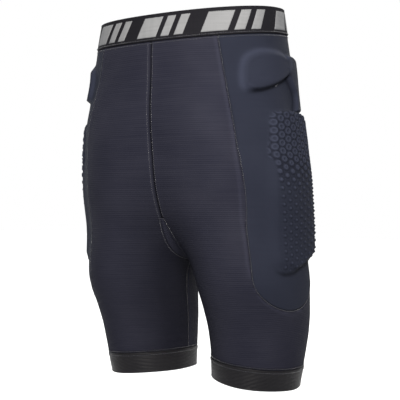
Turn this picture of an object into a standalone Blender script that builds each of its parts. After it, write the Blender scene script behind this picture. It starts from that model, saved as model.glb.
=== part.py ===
"""Padded impact shorts: knit panels, foam pads under stretch covers, and elastic bands.

Metres, +Z up. The front faces -Y and the wearer's left is +X. The origin is the
centre of the waist opening. Every piece is laid on one form, which is the outer
face of the cloth before any pad lifts it. A place on the form is an angle and a
height: 0 degrees is the front, 90 the wearer's outer side, 180 the back.
"""

import math
from collections import namedtuple

import bmesh
import bpy
import numpy as np

# The form: a torso tube and a tube for each leg, blended into one surface.
# height, half width, depth in front, depth behind
TORSO = (
    (0.000, 0.1235, 0.0880, 0.1015),
    (-0.050, 0.1310, 0.0965, 0.1050),
    (-0.110, 0.1370, 0.0970, 0.1095),
    (-0.180, 0.1405, 0.0940, 0.1150),
    (-0.260, 0.1430, 0.0865, 0.1195),
)
TORSO_POWER = 2.25  # 2 would be an ellipse
TORSO_END = -0.305
# height, centre x, centre y, half width, half depth
LEG = (
    (-0.180, 0.0550, -0.0050, 0.0800, 0.0880),
    (-0.260, 0.0690, 0.0110, 0.0750, 0.0900),
    (-0.340, 0.0830, 0.0155, 0.0700, 0.0865),
    (-0.410, 0.0840, 0.0335, 0.0620, 0.0780),
    (-0.475, 0.0800, 0.0350, 0.0560, 0.0665),
)
LEG_END = -0.100
LEG_BLEND = 0.0325
END_BLEND = (0.110, 0.080)  # torso, leg

# The waist slopes up towards the back, and each hem down towards the outer side.
WAIST_SLOPE = 0.14
BAND_HEIGHT = 0.0345
HEM_BOTTOM = -0.475
HEM_TOP = -0.4475
HEM_SLOPE = (-0.10, -0.06)  # outwards, backwards
HEM_CENTRE = 0.085

# Thicknesses and how far each outer face stands off the form
CLOTH = 0.0010
BAND_THICK = 0.0018
BAND_LIFT = 0.0006
HEM_THICK = 0.0015
HEM_LIFT = 0.0005
MESH_CLOTH = 0.0006
CUT_REACH = 0.0040  # how far the opening cutters stand off the form, both ways
PAST_SEAM = 6.0  # how far they pass the back seam, in degrees
PAST_TOP = 0.0010  # and the panel's top edge
GAP = 0.0003
THREAD = 0.0004
THREAD_LIFT = 0.0010
STITCH_CLEAR = 0.004  # where one line of stitching stops short of another

# Seams. The front one is a list of height and angle, from the waist down.
FRONT_SEAM = ((-0.045, 28.5), (-0.110, 32.5), (-0.175, 36.5), (-0.215, 34.0), (-0.265, 28.5), (-0.335, 26.0))
BACK_SEAM = 150.0
TONGUE_SHOULDER = -0.335
TONGUE_LOW = -0.377
TONGUE_LOW_ANGLE = 66.0
TONGUE_BACK = -0.310

# The gusset, found by rays from a point above the saddle
GUSSET_EYE = (0.0, 0.012, -0.215)
GUSSET_FRONT = -60.0
GUSSET_BACK = 60.0
GUSSET_HALF = 0.0130
GUSSET_TIP = 0.0010
ROUNDING = 1e-4
FREE_ROWS = 6.0  # how soon a panel's rows leave the planes of its two ends
LONGEST_RAY = 0.300  # from an axis to the form
TORSO_AXIS = 0.010  # how far behind the origin the torso's axis stands
# Heights down the back seam at the tip and the corner of the gusset
SEAM_AT_TIP = -0.250
SEAM_AT_CORNER = -0.320
SEAM_TOP = 0.010  # where it starts above the band's lower edge
SEAM_END = 0.006  # and ends below the hem band's upper edge

# Pads. Roundness 0 is a rectangle and 1 an oval, lean turns the top back, and lift is the cover's.
Pad = namedtuple("Pad", "angle height half_angle half_height roundness lean lift")
HIP_FRONT = Pad(66.0, -0.0845, 23.0, 0.0265, 0.75, 0.0, 0.0060)
HIP_REAR = Pad(110.5, -0.0950, 18.0, 0.0360, 0.80, 0.0, 0.0062)
THIGH = Pad(91.0, -0.2320, 39.0, 0.0950, 0.60, 8.0, 0.0096)
TAILBONE = Pad(180.0, -0.1200, 21.0, 0.0600, 0.70, 0.0, 0.0)
TAIL_THICK = 0.0080
TAIL_POCKET = Pad(180.0, -0.1200, 26.0, 0.0680, 0.30, 0.0, 0.0)
PAD_RAMP = 0.0130  # how far beyond a pad its cover takes to settle
PAD_CLEAR = 0.0008
LINING_LIFT = -0.0027
LINING_INSET = 0.0015
# name, pad, grid
SIDE_PADS = (
    ("hip_pad_front", HIP_FRONT, (6, 5)),
    ("hip_pad_rear", HIP_REAR, (5, 6)),
    ("thigh_pad", THIGH, (8, 14)),
)
RIM = 0.12  # the chamfer's share of a pad's width
RIM_HEIGHT = 0.45  # its share of the thickness

# The blank label inside the back of the band
LABEL_ANGLE = 172.0
LABEL_TURN = 16.0
LABEL_DROP = 0.008
LABEL_HEIGHT = 0.020
LABEL_THICK = 0.0004

# The silicone strip inside each hem
GRIPPER_TOP = 0.018
GRIPPER_LOW = 0.006
GRIPPER_THICK = 0.0007

# The block that levels the band's upper edge, and how far the band reaches into it
LEVEL_BLOCK = (0.40, 0.40, 0.04)
ABOVE_RIM = 0.002

# Grid sizes
CENTRE_ROWS = 8
GUSSET_ROWS = 6
INSEAM_ROWS = 6
ROWS = CENTRE_ROWS + GUSSET_ROWS + INSEAM_ROWS
TIP_AT = CENTRE_ROWS / ROWS
CORNER_AT = (CENTRE_ROWS + GUSSET_ROWS) / ROWS
FRONT_COLUMNS = 20
BACK_COLUMNS = 9
COVER_COLUMNS = 12
COVER_ROWS = 22
COVER_BUNCH = 1.3  # closer columns at the tongue's round corner
LAST_COLUMN = 1 - 1 / COVER_COLUMNS
GUSSET_GRID = (4, 2 * GUSSET_ROWS)
LINING_GRID = (9, 12)
TAIL_PAD_GRID = (6, 10)
TAIL_LINING_GRID = (8, 12)
BAND_COLUMNS = 48
HEM_COLUMNS = 30
# Where lines of stitching stop short, in cells of the grid they follow
SHORT_TOP = 0.4
SHORT_END = 0.3
SHORT_INSEAM = 0.8
SHORT_CORNER = 0.5

SIDES = (("left", 1), ("right", -1))

KNIT = ((0.030, 0.031, 0.036), 0.80)
COVER = ((0.024, 0.027, 0.036), 0.70)
ELASTIC = ((0.020, 0.020, 0.022), 0.75)
HEM = ((0.022, 0.022, 0.025), 0.45)
FOAM = ((0.060, 0.062, 0.070), 0.90)
NET = ((0.018, 0.018, 0.020), 0.85)
SILICONE = ((0.080, 0.080, 0.085), 0.40)
SEWING = ((0.040, 0.041, 0.046), 0.60)
LABEL = ((0.550, 0.550, 0.550), 0.80)


# ---------------------------------------------------------------- the form


def table_value(table, column, height):
    """A smooth curve through one column of a table, straight beyond its ends."""
    knots = np.array(table)[::-1, 0]
    values = np.array(table)[::-1, column]
    slopes = np.gradient(values, knots)
    held = np.clip(height, knots[0], knots[-1])
    span = np.clip(np.searchsorted(knots, held) - 1, 0, len(knots) - 2)
    width = knots[span + 1] - knots[span]
    t = (held - knots[span]) / width
    value = (1 + 2 * t) * (1 - t) ** 2 * values[span]
    value += (3 - 2 * t) * t**2 * values[span + 1]
    value += t * (1 - t) ** 2 * width * slopes[span]
    value -= t**2 * (1 - t) * width * slopes[span + 1]
    return value + (height - held) * np.where(height < knots[0], slopes[0], slopes[-1])


def blend(a, b, reach):
    """The smaller of two distances, with a round fillet where they cross."""
    h = np.clip(0.5 + 0.5 * (b - a) / reach, 0, 1)
    return b * (1 - h) + a * h - reach * h * (1 - h)


def field(point):
    """Below zero inside the form, zero on it."""
    x = np.abs(point[..., 0])
    y = point[..., 1]
    z = point[..., 2]
    width = table_value(TORSO, 1, z)
    depth = np.where(y < 0, table_value(TORSO, 2, z), table_value(TORSO, 3, z))
    reach = ((x / width) ** TORSO_POWER + (np.abs(y) / depth) ** TORSO_POWER) ** (1 / TORSO_POWER)
    torso = (reach - 1) * np.minimum(width, depth)
    torso = -blend(-torso, z - TORSO_END, END_BLEND[0])
    width = table_value(LEG, 3, z)
    depth = table_value(LEG, 4, z)
    reach = np.hypot((x - table_value(LEG, 1, z)) / width, (y - table_value(LEG, 2, z)) / depth)
    leg = (reach - 1) * np.minimum(width, depth)
    leg = -blend(-leg, LEG_END - z, END_BLEND[1])
    return blend(torso, leg, LEG_BLEND)


def normal(point):
    """The form's outward direction."""
    step = 1e-5
    slope = [field(point + step * axis) - field(point - step * axis) for axis in np.eye(3)]
    slope = np.stack(slope, axis=-1)
    return slope / np.linalg.norm(slope, axis=-1, keepdims=True)


def settle(point):
    """The point moved straight onto the form."""
    for _ in range(8):
        step = 1e-5
        slope = [field(point + step * axis) - field(point - step * axis) for axis in np.eye(3)]
        slope = np.stack(slope, axis=-1) / (2 * step)
        point = point - (field(point) / (slope**2).sum(axis=-1))[..., None] * slope
    return point


def cast(start, direction, reach=LONGEST_RAY):
    """Where a ray from inside leaves the form."""
    near = np.zeros(start.shape[:-1])
    far = near + reach
    for _ in range(28):
        middle = (near + far) / 2
        inside = field(start + direction * middle[..., None]) < 0
        near = np.where(inside, middle, near)
        far = np.where(inside, far, middle)
    return start + direction * near[..., None]


def leg_axis(height):
    """The centre that a leg's angles are measured round."""
    rise = np.clip((height - LEG[0][0]) / -LEG[0][0], 0, 1)
    above = height > LEG[0][0]
    x = np.where(above, LEG[0][1] * (1 - 0.35 * rise), table_value(LEG, 1, height))
    y = np.where(above, LEG[0][2] * (1 - rise), table_value(LEG, 2, height))
    return x, y


def on_leg(angle, height):
    """The point of the form at an angle round the left leg's axis, no further than the middle."""
    turn = np.radians(angle)
    x, y = leg_axis(height)
    start = np.stack([x, y, height], axis=-1)
    reach = x / np.maximum(-np.sin(turn), x / LONGEST_RAY)
    return cast(start, np.stack([np.sin(turn), -np.cos(turn), 0 * turn], axis=-1), reach)


def on_torso(angle, height):
    """The point of the form at an angle round the torso's own axis."""
    turn = np.radians(angle)
    start = np.stack([0 * turn, 0 * turn + TORSO_AXIS, height], axis=-1)
    return cast(start, np.stack([np.sin(turn), -np.cos(turn), 0 * turn], axis=-1))


def leg_angle(point):
    """The angle of a point round the left leg's axis, -180 to 180."""
    x, y = leg_axis(point[..., 2])
    return np.degrees(np.arctan2(point[..., 0] - x, y - point[..., 1]))


def waist_plane(point, drop):
    return WAIST_SLOPE * point[..., 1] - drop


def hem_plane(point, level):
    return level + HEM_SLOPE[0] * (np.abs(point[..., 0]) - HEM_CENTRE) + HEM_SLOPE[1] * point[..., 1]


def height_on_plane(chart, angle, plane, level):
    """The heights at which these angles of a chart meet a sloping plane."""
    height = 0 * angle + (-level if plane is waist_plane else level)
    for _ in range(6):
        height = plane(chart(angle, height), level)
    return height


# ---------------------------------------------------------------- making pieces


def material(name, look):
    colour, roughness = look
    made = bpy.data.materials.new(name)
    made.use_nodes = True
    shader = made.node_tree.nodes["Principled BSDF"]
    shader.inputs["Base Color"].default_value = (*colour, 1.0)
    shader.inputs["Roughness"].default_value = roughness
    shader.inputs["Metallic"].default_value = 0.0
    return made


def add_object(name, data, look, collection):
    data.materials.append(material(name, look))
    made = bpy.data.objects.new(name, data)
    collection.objects.link(made)
    return made


def new_grid(columns, rows):
    """A unit grid with u across and v down for each of its corners."""
    bm = bmesh.new()
    bmesh.ops.create_grid(bm, x_segments=columns, y_segments=rows, size=0.5)
    flat = np.array([vert.co for vert in bm.verts])
    return bm, flat[:, 0] + 0.5, 0.5 - flat[:, 1]


def move_to(bm, points, side):
    for vert, point in zip(bm.verts, points * np.array([side, 1, 1]), strict=True):
        vert.co = point


def finish(bm, name, look, collection):
    mesh = bpy.data.meshes.new(name)
    bm.to_mesh(mesh)
    bm.free()
    mesh.shade_smooth()
    mesh.set_sharp_from_angle(angle=math.radians(40))
    return add_object(name, mesh, look, collection)


def sheet(name, grid, place, look, collection, side=1, lift=0.0, thick=CLOTH, ring=False):
    """Cloth: a grid laid with its outer face at a lift over the form, and Solidify inwards."""
    bm, u, v = new_grid(*grid)
    base = place(u, v)
    move_to(bm, base + normal(base) * lift, side)
    if ring:
        bmesh.ops.remove_doubles(bm, verts=bm.verts[:], dist=1e-6)
    if side < 0:
        bmesh.ops.reverse_faces(bm, faces=bm.faces[:])
    made = finish(bm, name, look, collection)
    solid = made.modifiers.new("thickness", "SOLIDIFY")
    solid.thickness = thick
    solid.offset = -1
    solid.use_even_offset = True
    return made


def slab(name, grid, place, look, collection, inner, outer, side=1):
    """A closed piece between two lifts: a grid extruded, both faces moved out along the form's normal.

    Neighbours that share a seam share its normals too, so their edges stay parallel.
    """
    bm, u, v = new_grid(*grid)
    keep = len(bm.verts)
    bmesh.ops.extrude_face_region(bm, geom=bm.faces[:], use_keep_orig=True)
    flat = np.array([vert.co for vert in bm.verts])
    u, v = flat[:, 0] + 0.5, 0.5 - flat[:, 1]
    base = place(u, v)
    top = np.arange(len(u)) >= keep
    low = inner(u, v) if callable(inner) else inner
    high = outer(u, v) if callable(outer) else outer
    raised = np.where(top, high, low)
    move_to(bm, base + normal(base) * raised[:, None], side)
    if side < 0:
        bmesh.ops.reverse_faces(bm, faces=bm.faces[:])
    return finish(bm, name, look, collection)


def thread(name, points, collection, side=1, lift=THREAD_LIFT, closed=False):
    """Stitching: a thin round bead along a seam, just clear of the cloth."""
    raised = points + normal(points) * lift
    curve = bpy.data.curves.new(name, "CURVE")
    curve.dimensions = "3D"
    spline = curve.splines.new("POLY")
    spline.points.add(len(raised) - 1)
    for knot, point in zip(spline.points, raised * np.array([side, 1, 1]), strict=True):
        knot.co = (*point, 1.0)
    spline.use_cyclic_u = closed
    curve.bevel_depth = THREAD
    curve.bevel_resolution = 0
    curve.use_fill_caps = True
    return add_object(name, curve, SEWING, collection)


def facet(made):
    """Split slanted cells along their short diagonal, which keeps the crotch free of ridges."""
    split = made.modifiers.new("facets", "TRIANGULATE")
    split.quad_method = "SHORTEST_DIAGONAL"


def trim(made, cutter):
    cut = made.modifiers.new(f"cut_{cutter.name}", "BOOLEAN")
    cut.operation = "DIFFERENCE"
    cut.solver = "EXACT"
    cut.object = cutter


def hide_cutter(made):
    made.hide_render = True
    made.display_type = "WIRE"
    return made


# ---------------------------------------------------------------- panel outlines


def share(v, first, last):
    """How far v has gone from first to last, 0 to 1."""
    return np.clip((v - first) / (last - first), 0, 1)


def middle_point(sweep):
    """The form's middle line under the crotch, at angles from straight down."""
    turn = np.radians(sweep)
    start = np.array(GUSSET_EYE) + 0 * turn[..., None]
    return cast(start, np.stack([0 * turn, np.sin(turn), -np.cos(turn)], axis=-1))


def gusset_point(across, along, margin=0.0):
    """across is -1 to 1 from right to left, along is -1 at the front tip and 1 at the back."""
    sweep = np.where(along < 0, -GUSSET_FRONT, GUSSET_BACK) * along
    half = GUSSET_HALF * np.cos(np.radians(90) * along) + GUSSET_TIP + margin
    point = middle_point(sweep)
    point[..., 0] = across * half
    return settle(point)


def centre_point(front, height):
    """The form on the middle plane, in front or behind, half a gap off the plane."""
    start = np.stack([0 * height + GAP / 2, 0 * height + TORSO_AXIS, height], axis=-1)
    return cast(start, np.array([0.0, -1.0 if front else 1.0, 0.0]) + 0 * start)


def inner_edge(front, v):
    """The points of a panel's inner edge: centre seam, gusset, then inseam."""
    tip = gusset_point(np.ones(1), np.array([-1.0 if front else 1.0]), GAP)[0]
    corner = gusset_point(np.ones(1), np.zeros(1), GAP)[0]
    top = height_on_plane(lambda a, z: centre_point(front, z), np.zeros(1), waist_plane, BAND_HEIGHT)[0]
    top -= GAP
    seam = centre_point(front, top + (tip[2] - top) * share(v, 0, TIP_AT))
    along = (1 - share(v, TIP_AT, CORNER_AT)) * (-1 if front else 1)
    gusset = gusset_point(np.ones_like(v), along, GAP)
    down = share(v, CORNER_AT, 1)
    corner_angle = leg_angle(corner[None])[0]
    end = height_on_plane(on_leg, np.array([-90.0]), hem_plane, HEM_TOP)[0] + GAP
    half_gap = np.degrees(GAP / 2 / LEG[3][3]) * (1 if front else -1)
    angle = corner_angle + (-90 - corner_angle) * down + half_gap
    inseam = on_leg(angle, corner[2] + (end - corner[2]) * down)
    upper = np.where((v < TIP_AT - ROUNDING)[:, None], seam, gusset)
    return np.where((v > CORNER_AT + ROUNDING)[:, None], inseam, upper)


def outer_height(v):
    """Heights down the back seam, level with the rows of the inner edge."""
    knots = [0, TIP_AT, CORNER_AT, 1]
    return np.interp(v, knots, [-BAND_HEIGHT + SEAM_TOP, SEAM_AT_TIP, SEAM_AT_CORNER, HEM_TOP - SEAM_END])


def around_leg(point, past_back):
    """Angle, height and radius of a point round the left leg's axis."""
    x, y = leg_axis(point[:, 2])
    angle = leg_angle(point)
    angle = np.where((angle < 0) & past_back, angle + 360, angle)
    return np.stack([angle, point[:, 2], np.hypot(point[:, 0] - x, point[:, 1] - y)])


def panel(front, u, v):
    """A point of a front or back panel. u runs from smaller to larger angles.

    The two edges are joined round the leg and the result is settled on the form, since level
    rays would graze it under the crotch. The ends lie on their own planes exactly.
    """
    half_gap = np.degrees(GAP / 2 / LEG[1][4]) * (-1 if front else 1)
    along = u if front else 1 - u

    def blended(at):
        inner = around_leg(inner_edge(front, at), not front)
        outer = around_leg(on_leg(BACK_SEAM + half_gap + 0 * at, outer_height(at)), False)
        return inner + (outer - inner) * along

    angle, height, radius = blended(v)
    angle_top, height_top, _ = blended(0 * v)
    angle_low, height_low, _ = blended(0 * v + 1)
    top = height_on_plane(on_leg, angle_top, waist_plane, BAND_HEIGHT) - GAP
    low = height_on_plane(on_leg, angle_low, hem_plane, HEM_TOP) + GAP
    height = height + (top - height_top) * (1 - v) ** 3 + (low - height_low) * v**3
    x, y = leg_axis(height)
    turn = np.radians(angle)
    joined = np.stack([x + radius * np.sin(turn), y - radius * np.cos(turn), height], axis=-1)
    level = on_leg(angle, height)
    free = np.clip(FREE_ROWS * v * (1 - v), 0, 1)
    free = np.where((along < ROUNDING) & (v > TIP_AT - ROUNDING) & (v < CORNER_AT + ROUNDING), 1, free)
    return settle(level + (joined - level) * free[:, None])


def front_seam_angle(height):
    knots = FRONT_SEAM[::-1]
    return np.interp(height, [knot[0] for knot in knots], [knot[1] for knot in knots])


def tongue_height(angle):
    """The cover's lower edge: a quarter round in front and an easy rise behind."""
    first = front_seam_angle(TONGUE_SHOULDER)
    ahead = share(angle, TONGUE_LOW_ANGLE, first)
    behind = np.maximum(angle - TONGUE_LOW_ANGLE, 0) / (BACK_SEAM - TONGUE_LOW_ANGLE)
    rise = (TONGUE_SHOULDER - TONGUE_LOW) * (1 - np.sqrt(1 - np.minimum(ahead, 1) ** 2))
    return TONGUE_LOW + rise + (TONGUE_BACK - TONGUE_LOW) * behind**2


def cover_chart(u, v, inset=0.0, past_seam=0.0):
    """Angle and height of a point of the side cover, drawn in by an inset all round."""
    turn = np.degrees(inset / LEG[1][4])
    seam_top = FRONT_SEAM[0][0]
    left = front_seam_angle(seam_top + (TONGUE_SHOULDER - seam_top) * v) + turn
    angle = left + (BACK_SEAM - turn - left) * u**COVER_BUNCH + past_seam * share(u, LAST_COLUMN, 1)
    top = height_on_plane(on_leg, angle, waist_plane, BAND_HEIGHT + GAP + inset)
    low = tongue_height(angle) + inset
    return angle, top + (low - top) * v


def pad_chart(pad, u, v):
    """The unit square drawn out to a pad's rounded outline, as angle and height."""
    x = 2 * u - 1
    y = 1 - 2 * v
    wide = x * ((1 - pad.roundness) + pad.roundness * np.sqrt(1 - y**2 / 2))
    tall = y * ((1 - pad.roundness) + pad.roundness * np.sqrt(1 - x**2 / 2))
    return pad.angle + pad.half_angle * wide + pad.lean * tall, pad.height + pad.half_height * tall


def pad_lift(pad, angle, height):
    """How far one pad raises the cover at this place."""
    radius = LEG[1][4]
    tall = np.clip((height - pad.height) / pad.half_height, -1, 1)
    half_width = np.radians(pad.half_angle) * radius
    x = np.abs(np.radians(angle - pad.angle - pad.lean * tall) * radius)
    y = np.abs(height - pad.height)
    corner = pad.roundness * 0.5 * min(half_width, pad.half_height)
    across = np.maximum(x - half_width + corner, 0)
    down = np.maximum(y - pad.half_height + corner, 0)
    ramp = 1 - share(np.hypot(across, down) - corner, 0, PAD_RAMP)
    return pad.lift * ramp**2 * (3 - 2 * ramp)


def cover_lift(angle, height):
    return np.max([pad_lift(pad, angle, height) for pad in (HIP_FRONT, HIP_REAR, THIGH)], axis=0)


def rim_share(u, v, width):
    """0 on the edge of the unit square, rising to 1 within a width of it."""
    return share(np.minimum(np.minimum(u, 1 - u), np.minimum(v, 1 - v)), 0, width)


# ---------------------------------------------------------------- the pieces


def add_panels(collection, cutters):
    def front(u, v):
        return panel(True, u, v)

    def back(u, v):
        return panel(False, u, v)

    def opening(u, v):
        return on_leg(*opening_chart(u, v))

    for word, side in SIDES:
        grid = (FRONT_COLUMNS, ROWS)
        made = slab(f"front_panel_{word}", grid, front, KNIT, collection, -CLOTH, 0, side)
        facet(made)
        grid = (COVER_COLUMNS, COVER_ROWS)
        cutter = slab(f"cover_opening_{word}", grid, opening, KNIT, cutters, -CUT_REACH, CUT_REACH, side)
        trim(made, hide_cutter(cutter))
        facet(slab(f"back_panel_{word}", (BACK_COLUMNS, ROWS), back, KNIT, collection, -CLOTH, 0, side))


def opening_chart(u, v):
    """The cover's outline let out by a gap, and past the panel's top and back edges."""
    angle, height = cover_chart(u, v, inset=-GAP, past_seam=PAST_SEAM)
    return angle, height + PAST_TOP * (1 - share(v, 0, 1 / COVER_ROWS))


def add_gusset(collection):
    def place(u, v):
        return gusset_point(2 * u - 1, 2 * v - 1)

    slab("crotch_gusset", GUSSET_GRID, place, KNIT, collection, -CLOTH, 0)


def add_side_covers(collection):
    def place(u, v):
        return on_leg(*cover_chart(u, v))

    def outer(u, v):
        return cover_lift(*cover_chart(u, v))

    def inner(u, v):
        return outer(u, v) - CLOTH

    grid = (COVER_COLUMNS, COVER_ROWS)
    for word, side in SIDES:
        slab(f"side_cover_{word}", grid, place, COVER, collection, inner, outer, side)


def add_pads(collection):
    low = LINING_LIFT + PAD_CLEAR
    for word, side in SIDES:
        for name, pad, grid in SIDE_PADS:
            high = pad.lift - CLOTH - PAD_CLEAR
            add_pad(f"{name}_{word}", pad, grid, on_leg, low, high, collection, side)


def add_pad(name, pad, grid, chart, low, high, collection, side=1):
    """A foam pad between two lifts, with a chamfer round its outer rim."""

    def crown(u, v):
        return low + (high - low) * (RIM_HEIGHT + (1 - RIM_HEIGHT) * rim_share(u, v, RIM))

    slab(name, grid, lambda u, v: chart(*pad_chart(pad, u, v)), FOAM, collection, low, crown, side)


def add_pad_linings(collection):
    for word, side in SIDES:
        sheet(
            f"pad_lining_{word}",
            LINING_GRID,
            lambda u, v: on_leg(*cover_chart(u, v, inset=LINING_INSET)),
            NET,
            collection,
            side,
            lift=LINING_LIFT,
            thick=MESH_CLOTH,
        )


def add_tailbone(collection):
    high = -CLOTH - 2 * PAD_CLEAR
    low = high - TAIL_THICK
    add_pad("tailbone_pad", TAILBONE, TAIL_PAD_GRID, on_torso, low, high, collection)
    sheet(
        "tailbone_lining",
        TAIL_LINING_GRID,
        lambda u, v: on_torso(*pad_chart(TAIL_POCKET, u, v)),
        NET,
        collection,
        lift=low - PAD_CLEAR,
        thick=MESH_CLOTH,
    )


def add_waistband(collection, cutters):
    def place(u, v):
        angle = 360 * u
        top = height_on_plane(on_torso, angle, waist_plane, 0.0) + ABOVE_RIM
        low = height_on_plane(on_torso, angle, waist_plane, BAND_HEIGHT) + GAP
        return on_torso(angle, top + (low - top) * v)

    grid = (BAND_COLUMNS, 2)
    band = sheet("waistband", grid, place, ELASTIC, collection, lift=BAND_LIFT, thick=BAND_THICK, ring=True)
    mesh = bpy.data.meshes.new("waist_level")
    bm = bmesh.new()
    bmesh.ops.create_cube(bm, size=1.0)
    bmesh.ops.scale(bm, vec=LEVEL_BLOCK, verts=bm.verts[:])
    bmesh.ops.translate(bm, vec=(0, 0, LEVEL_BLOCK[2] / 2), verts=bm.verts[:])
    bm.to_mesh(mesh)
    bm.free()
    cutter = add_object("waist_level", mesh, ELASTIC, cutters)
    cutter.rotation_euler = (math.atan(WAIST_SLOPE), 0, 0)
    trim(band, hide_cutter(cutter))


def add_care_label(collection):
    def place(u, v):
        angle = LABEL_ANGLE + LABEL_TURN * u
        top = height_on_plane(on_torso, angle, waist_plane, LABEL_DROP)
        return on_torso(angle, top - LABEL_HEIGHT * v)

    lift = BAND_LIFT - BAND_THICK - GAP
    sheet("care_label", (3, 2), place, LABEL, collection, lift=lift, thick=LABEL_THICK)


def add_hems(collection):
    def ring(top, low):
        def place(u, v):
            angle = -90 + 360 * u
            high = height_on_plane(on_leg, angle, hem_plane, top)
            deep = height_on_plane(on_leg, angle, hem_plane, low)
            return on_leg(angle, high + (deep - high) * v)

        return place

    for word, side in SIDES:
        sheet(
            f"hem_band_{word}",
            (HEM_COLUMNS, 2),
            ring(HEM_TOP - GAP, HEM_BOTTOM),
            HEM,
            collection,
            side,
            lift=HEM_LIFT,
            thick=HEM_THICK,
            ring=True,
        )
        sheet(
            f"hem_gripper_{word}",
            (HEM_COLUMNS, 1),
            ring(HEM_BOTTOM + GRIPPER_TOP, HEM_BOTTOM + GRIPPER_LOW),
            SILICONE,
            collection,
            side,
            lift=HEM_LIFT - HEM_THICK - GAP,
            thick=GRIPPER_THICK,
            ring=True,
        )


def add_stitching(collection):
    add_centre_stitching("centre_front_seam", True, collection)
    add_centre_stitching("centre_back_seam", False, collection)
    turn = np.linspace(0, 360, BAND_COLUMNS, endpoint=False)
    waist = on_torso(turn, height_on_plane(on_torso, turn, waist_plane, BAND_HEIGHT))
    thread("waist_seam", waist, collection, lift=BAND_LIFT + GAP + THREAD, closed=True)
    along = np.linspace(-1, 1, 2 * GUSSET_ROWS + 1)
    left = gusset_point(1 + 0 * along, along, GAP / 2)
    right = left[::-1] * np.array([-1, 1, 1])
    thread("gusset_seam", np.concatenate([left, right]), collection, closed=True)
    for word, side in SIDES:
        add_side_stitching(word, side, collection)


def add_centre_stitching(name, front, collection):
    tip = gusset_point(np.zeros(1), np.array([-1.0 if front else 1.0]))[0]
    top = height_on_plane(lambda a, z: centre_point(front, z), np.zeros(1), waist_plane, BAND_HEIGHT)[0]
    height = np.linspace(top - STITCH_CLEAR, tip[2] + STITCH_CLEAR, 2 * CENTRE_ROWS + 1)
    seam = centre_point(front, height)
    seam[:, 0] = 0
    thread(name, seam, collection)


def add_side_stitching(word, side, collection):
    rows = np.linspace(0, 1, ROWS + 1)
    rows[0] = SHORT_TOP / ROWS
    rows[-1] -= SHORT_END / ROWS
    thread(f"back_seam_{word}", panel(True, 0 * rows + 1, rows), collection, side)
    inseam = rows[CENTRE_ROWS + GUSSET_ROWS :].copy()
    inseam[0] += SHORT_INSEAM / ROWS
    thread(f"inseam_{word}", panel(True, 0 * inseam, inseam), collection, side)
    down = np.linspace(0, 1, COVER_ROWS + 1)
    down[0] = SHORT_END / COVER_ROWS
    across = np.linspace(0, 1, COVER_COLUMNS + 1)[1:]
    across[-1] -= SHORT_CORNER / COVER_COLUMNS
    outline_u = np.concatenate([0 * down, across])
    outline_v = np.concatenate([down, 0 * across + 1])
    thread(f"cover_seam_{word}", on_leg(*cover_chart(outline_u, outline_v)), collection, side)
    turn = np.linspace(-90, 270, HEM_COLUMNS, endpoint=False)
    hem = on_leg(turn, height_on_plane(on_leg, turn, hem_plane, HEM_TOP))
    thread(f"hem_seam_{word}", hem, collection, side, lift=HEM_LIFT + GAP + THREAD, closed=True)


def main():
    for old in list(bpy.data.objects):
        bpy.data.objects.remove(old, do_unlink=True)
    shorts = bpy.data.collections.new("padded_impact_shorts")
    cutters = bpy.data.collections.new("cutters")
    bpy.context.scene.collection.children.link(shorts)
    bpy.context.scene.collection.children.link(cutters)
    add_panels(shorts, cutters)
    add_gusset(shorts)
    add_side_covers(shorts)
    add_pads(shorts)
    add_pad_linings(shorts)
    add_tailbone(shorts)
    add_waistband(shorts, cutters)
    add_care_label(shorts)
    add_hems(shorts)
    add_stitching(shorts)


main()
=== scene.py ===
"""Looks of the padded impact shorts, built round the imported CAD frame.

Every piece lies on the same form as the CAD solids: a torso tube and two leg tubes.
A place on the form is an angle and a height: 0 degrees is the front, 90 the outer
side and 180 the back. Metres, +Z up, front towards -Y, the wearer's left at +X.
"""

import math

import bpy
import numpy as np
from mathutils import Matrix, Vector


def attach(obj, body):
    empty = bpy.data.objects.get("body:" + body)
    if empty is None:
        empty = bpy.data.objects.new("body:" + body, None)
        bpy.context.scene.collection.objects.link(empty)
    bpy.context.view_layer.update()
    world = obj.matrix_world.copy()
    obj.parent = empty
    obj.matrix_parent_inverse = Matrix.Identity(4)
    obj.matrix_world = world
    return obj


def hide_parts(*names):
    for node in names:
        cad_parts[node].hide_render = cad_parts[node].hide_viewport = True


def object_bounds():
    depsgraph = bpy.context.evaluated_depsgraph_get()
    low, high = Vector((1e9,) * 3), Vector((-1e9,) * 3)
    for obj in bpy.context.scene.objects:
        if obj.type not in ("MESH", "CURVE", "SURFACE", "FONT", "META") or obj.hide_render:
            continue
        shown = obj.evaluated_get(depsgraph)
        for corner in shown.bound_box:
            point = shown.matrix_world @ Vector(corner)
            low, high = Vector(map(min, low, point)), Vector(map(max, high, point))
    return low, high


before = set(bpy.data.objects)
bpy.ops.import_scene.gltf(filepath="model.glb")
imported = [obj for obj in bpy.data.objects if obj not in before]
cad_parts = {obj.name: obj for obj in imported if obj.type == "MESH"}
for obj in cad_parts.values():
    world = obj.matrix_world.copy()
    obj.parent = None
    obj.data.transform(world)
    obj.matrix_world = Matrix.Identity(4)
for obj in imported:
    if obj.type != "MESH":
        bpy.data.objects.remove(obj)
CAD_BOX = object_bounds()

# ---- the form, as in the CAD

# Torso: height, half width, depth in front, depth behind
TORSO = (
    (0.000, 0.1235, 0.0880, 0.1015),
    (-0.050, 0.1310, 0.0965, 0.1050),
    (-0.110, 0.1370, 0.0970, 0.1095),
    (-0.180, 0.1405, 0.0940, 0.1150),
    (-0.260, 0.1430, 0.0865, 0.1195),
)
TORSO_POWER = 2.25  # 2 would be an ellipse
TORSO_END = -0.305
TORSO_AXIS = 0.010  # how far behind the origin the torso's axis stands
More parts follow.
